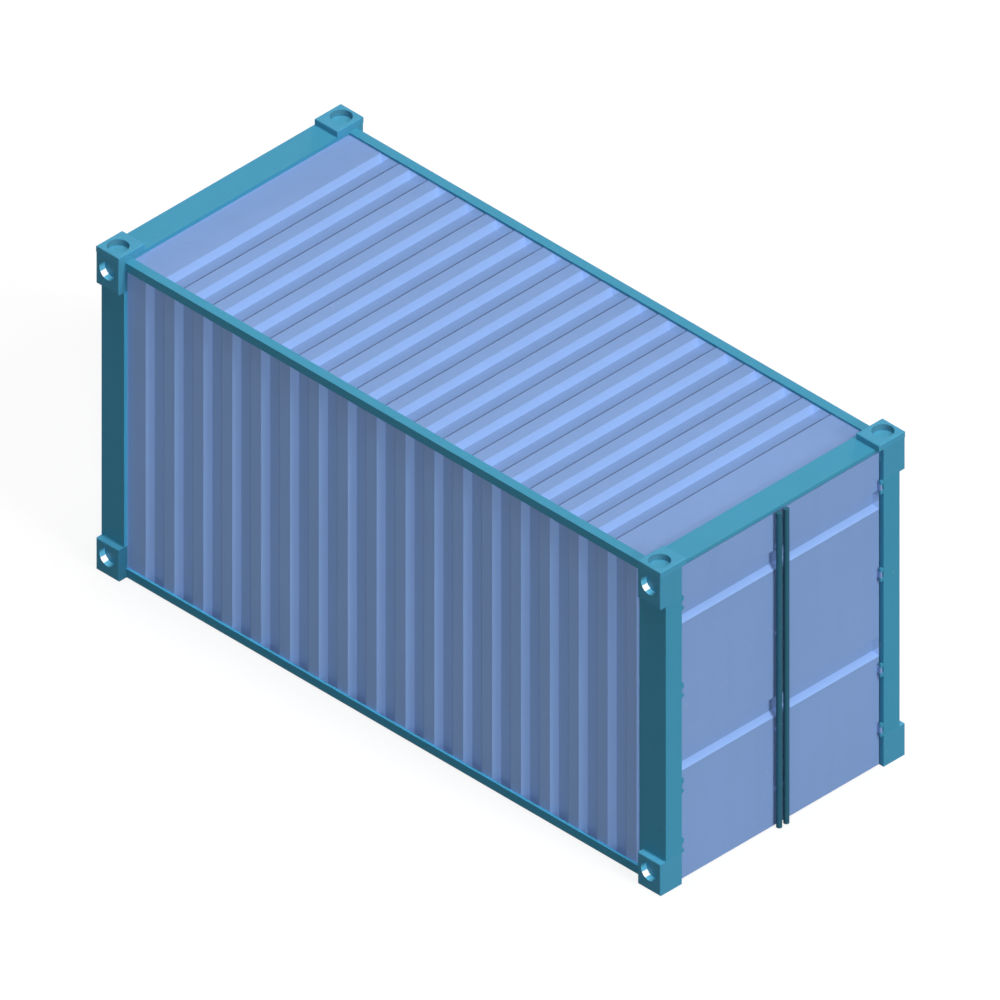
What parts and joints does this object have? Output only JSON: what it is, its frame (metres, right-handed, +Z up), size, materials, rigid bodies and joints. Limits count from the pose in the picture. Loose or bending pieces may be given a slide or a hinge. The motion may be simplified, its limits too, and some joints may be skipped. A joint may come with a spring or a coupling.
{
  "type": "steel shipping container with hinged double doors",
  "caption": "Closed steel freight container with corrugated walls and roof, socketed corner castings, hinged double doors and turning lock rods.",
  "frame": {"origin": "centre of the whole part's footprint, on the ground under the corner castings", "axes": "+X along the container's length towards its doors, +Y to the right as seen by someone outside who faces the doors, +Z up"},
  "size_m": [5.8436, 2.525, 2.896],
  "materials": {
    "frame_paint": "satin",
    "panel_paint": "satin",
    "rod_paint": "satin",
    "pin_steel": "brushed",
    "floor_wood": "varnished plywood",
    "door_rubber": "matte"
  },
  "bodies": {
    "container": {"casting_rear_left_bottom": "frame_paint", "casting_rear_left_top": "frame_paint", "casting_rear_right_bottom": "frame_paint", "casting_rear_right_top": "frame_paint", "casting_door_left_bottom": "frame_paint", "casting_door_left_top": "frame_paint", "casting_door_right_bottom": "frame_paint", "casting_door_right_top": "frame_paint", "rear_post_left": "frame_paint", "rear_post_right": "frame_paint", "door_post_left": "frame_paint", "door_post_right": "frame_paint", "casting_caps": "frame_paint", "door_post_channels": "frame_paint", "top_rail_left": "frame_paint", "top_rail_right": "frame_paint", "bottom_rail_left": "frame_paint", "bottom_rail_right": "frame_paint", "side_sheet_left": "panel_paint", "side_sheet_right": "panel_paint", "rear_sheet": "panel_paint", "rear_header": "frame_paint", "rear_sill": "frame_paint", "roof_sheet": "panel_paint", "door_header": "frame_paint", "door_sill": "frame_paint", "cross_members": "frame_paint", "floor_boards": "floor_wood", "hinge_lugs": "frame_paint", "hinge_pins": "pin_steel"},
    "door_left": {"door_left_sheet": "panel_paint", "door_left_stiles": "panel_paint", "door_left_rails": "panel_paint", "door_left_seal": "door_rubber", "door_left_hinge_blades": "frame_paint", "door_left_rod_brackets": "rod_paint"},
    "rod_left": {"lock_rod_left": "rod_paint"},
    "door_right": {"door_right_sheet": "panel_paint", "door_right_stiles": "panel_paint", "door_right_rails": "panel_paint", "door_right_seal": "door_rubber", "door_right_hinge_blades": "frame_paint", "door_right_rod_brackets": "rod_paint"},
    "rod_right": {"lock_rod_right": "rod_paint"}
  },
  "joints": [
    {"name": "door_left_swing", "type": "hinge", "parent": "container", "child": "door_left", "pos_m": [2.88625, -1.0235, 1.4], "axis": [0, 0, -1], "range_deg": [0, 180]},
    {"name": "rod_left_turn", "type": "hinge", "parent": "door_left", "child": "rod_left", "pos_m": [2.89875, -0.037, 1.4], "axis": [0, 0, -1], "range_deg": [0, 90]},
    {"name": "door_right_swing", "type": "hinge", "parent": "container", "child": "door_right", "pos_m": [2.88625, 1.0235, 1.4], "axis": [0, 0, 1], "range_deg": [0, 180]},
    {"name": "rod_right_turn", "type": "hinge", "parent": "door_right", "child": "rod_right", "pos_m": [2.89875, 0.037, 1.4], "axis": [0, 0, 1], "range_deg": [0, 90]}
  ]
}
